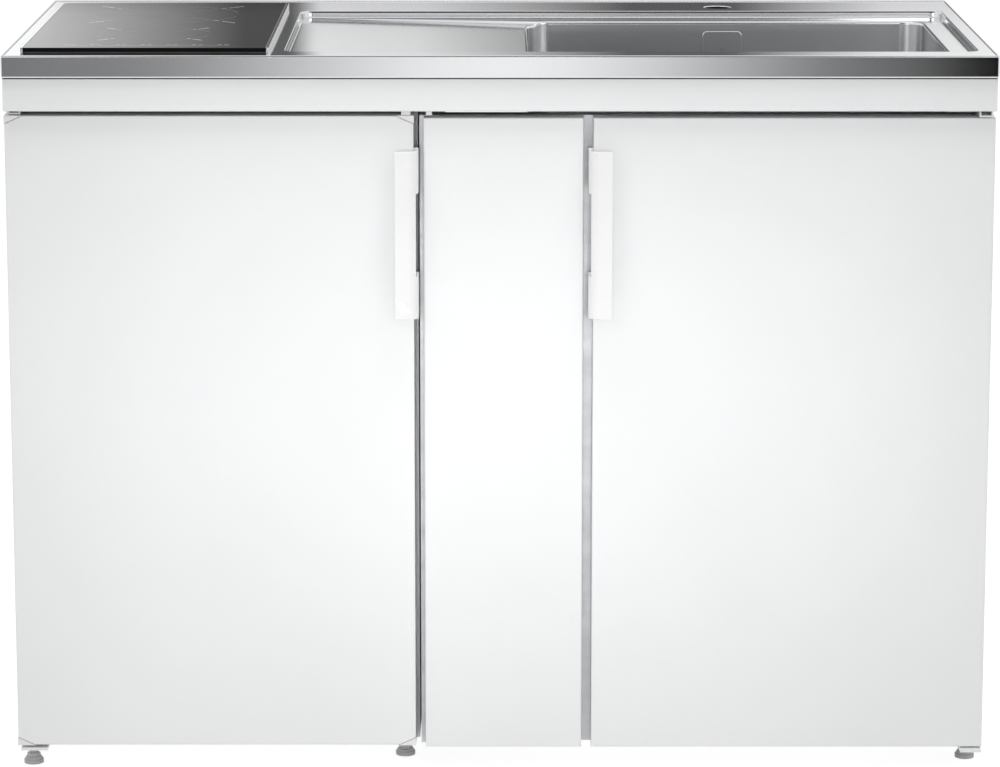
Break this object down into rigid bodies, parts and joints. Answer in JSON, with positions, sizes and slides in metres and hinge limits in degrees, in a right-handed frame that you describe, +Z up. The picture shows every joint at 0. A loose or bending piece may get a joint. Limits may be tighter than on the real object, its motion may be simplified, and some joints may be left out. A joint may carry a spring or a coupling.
{
  "type": "kitchenette unit with sink and hob",
  "caption": "Steel worktop with pressed sink, sloping drainer and black glass hob over a refrigerator with hinged door and a white sink cabinet with door, filler panel and levelling feet.",
  "frame": {"origin": "centre of the bounding box's footprint, on the floor", "axes": "+X right as seen from the front, +Y from the front towards the wall, +Z up"},
  "size_m": [1.2, 0.618, 0.907],
  "materials": {
    "brushed_steel": "satin",
    "core_board": "matte",
    "polished_steel": "polished",
    "grey_plastic": "satin",
    "white_plastic": "satin",
    "black_glass": "gloss",
    "black_rubber": "matte",
    "trim_metal": "satin",
    "zinc_steel": "satin",
    "copper_coil": "satin",
    "circuit_board": "satin",
    "white_coat": "satin",
    "foam": "matte",
    "liner_plastic": "satin",
    "black_coat": "satin",
    "shelf_glass": "gloss",
    "clear_plastic": "gloss",
    "gasket_rubber": "matte",
    "grey_coat": "satin"
  },
  "bodies": {
    "unit": {"worktop_sheet": "brushed_steel", "worktop_core": "core_board", "sink_bowl": "brushed_steel", "overflow_plate": "polished_steel", "overflow_pipe": "grey_plastic", "waste_body": "polished_steel", "bottle_trap": "white_plastic", "waste_pipe": "grey_plastic", "hob_glass": "black_glass", "hob_seal": "black_rubber", "hob_trims": "trim_metal", "hob_case": "zinc_steel", "hob_coils": "copper_coil", "hob_electronics": "circuit_board", "fascia": "white_coat", "frame_rails": "white_coat", "wall_rail": "white_coat", "rest_blocks": "white_plastic", "fridge_shell": "white_coat", "fridge_base": "zinc_steel", "fridge_back": "zinc_steel", "fridge_foam": "foam", "fridge_liner": "liner_plastic", "compressor": "black_coat", "condenser": "black_coat", "glass_shelves": "shelf_glass", "thermostat_housing": "liner_plastic", "fridge_hinges": "white_coat", "cabinet_side_left": "grey_coat", "cabinet_side_right": "white_coat", "cabinet_floor": "grey_coat", "cabinet_back": "grey_coat", "cabinet_rails": "grey_coat", "front_post": "grey_coat", "filler_panel": "white_coat", "cabinet_hinges": "white_coat", "magnet_catch": "white_plastic"},
    "fridge_door": {"fridge_door_skin": "white_coat", "door_corner_caps": "white_plastic", "fridge_door_liner": "liner_plastic", "door_gasket": "gasket_rubber", "door_racks": "clear_plastic", "fridge_door_bushes": "grey_plastic", "fridge_handle": "white_plastic"},
    "cabinet_door": {"cabinet_door_skin": "white_coat", "cabinet_door_inner": "white_coat", "cabinet_door_bushes": "grey_plastic", "cabinet_handle": "white_plastic"},
    "crisper": {"crisper_drawer": "clear_plastic"},
    "thermostat": {"thermostat_knob": "grey_plastic"},
    "strainer": {"strainer_basket": "polished_steel"},
    "leveller_fridge_front_left": {"foot_fridge_front_left": "zinc_steel"},
    "leveller_fridge_front_right": {"foot_fridge_front_right": "zinc_steel"},
    "leveller_fridge_rear_left": {"foot_fridge_rear_left": "zinc_steel"},
    "leveller_fridge_rear_right": {"foot_fridge_rear_right": "zinc_steel"},
    "leveller_cabinet_front_left": {"foot_cabinet_front_left": "zinc_steel"},
    "leveller_cabinet_front_right": {"foot_cabinet_front_right": "zinc_steel"},
    "leveller_cabinet_rear_left": {"foot_cabinet_rear_left": "zinc_steel"},
    "leveller_cabinet_rear_right": {"foot_cabinet_rear_right": "zinc_steel"}
  },
  "joints": [
    {"name": "fridge_door_hinge", "type": "hinge", "parent": "unit", "child": "fridge_door", "pos_m": [-0.591, -0.258, 0.43], "axis": [0, 0, -1], "range_deg": [0, 110]},
    {"name": "cabinet_door_hinge", "type": "hinge", "parent": "unit", "child": "cabinet_door", "pos_m": [0.591, -0.266, 0.43], "axis": [0, 0, 1], "range_deg": [0, 110]},
    {"name": "crisper_slide", "type": "slide", "parent": "unit", "child": "crisper", "axis": [0, -1, 0], "range_m": [0, 0.06]},
    {"name": "thermostat_turn", "type": "hinge", "parent": "unit", "child": "thermostat", "pos_m": [-0.315, 0.002, 0.765], "axis": [0, -1, 0], "range_deg": [0, 270]},
    {"name": "strainer_lift", "type": "slide", "parent": "unit", "child": "strainer", "axis": [0, 0, 1], "range_m": [0, 0.06]},
    {"name": "fridge_front_left_foot_turn", "type": "hinge", "parent": "unit", "child": "leveller_fridge_front_left", "pos_m": [-0.586, -0.227, 0.02], "axis": [0, 0, 1], "continuous": true},
    {"name": "fridge_front_right_foot_turn", "type": "hinge", "parent": "unit", "child": "leveller_fridge_front_right", "pos_m": [-0.1195, -0.192, 0.02], "axis": [0, 0, 1], "continuous": true},
    {"name": "fridge_rear_left_foot_turn", "type": "hinge", "parent": "unit", "child": "leveller_fridge_rear_left", "pos_m": [-0.583, 0.259, 0.02], "axis": [0, 0, 1], "continuous": true},
    {"name": "fridge_rear_right_foot_turn", "type": "hinge", "parent": "unit", "child": "leveller_fridge_rear_right", "pos_m": [-0.1195, 0.259, 0.02], "axis": [0, 0, 1], "continuous": true},
    {"name": "cabinet_front_left_foot_turn", "type": "hinge", "parent": "unit", "child": "leveller_cabinet_front_left", "pos_m": [-0.078, -0.141, 0.02], "axis": [0, 0, 1], "continuous": true},
    {"name": "cabinet_front_right_foot_turn", "type": "hinge", "parent": "unit", "child": "leveller_cabinet_front_right", "pos_m": [0.5865, -0.204, 0.02], "axis": [0, 0, 1], "continuous": true},
    {"name": "cabinet_rear_left_foot_turn", "type": "hinge", "parent": "unit", "child": "leveller_cabinet_rear_left", "pos_m": [-0.078, 0.259, 0.02], "axis": [0, 0, 1], "continuous": true},
    {"name": "cabinet_rear_right_foot_turn", "type": "hinge", "parent": "unit", "child": "leveller_cabinet_rear_right", "pos_m": [0.585, 0.259, 0.02], "axis": [0, 0, 1], "continuous": true}
  ]
}
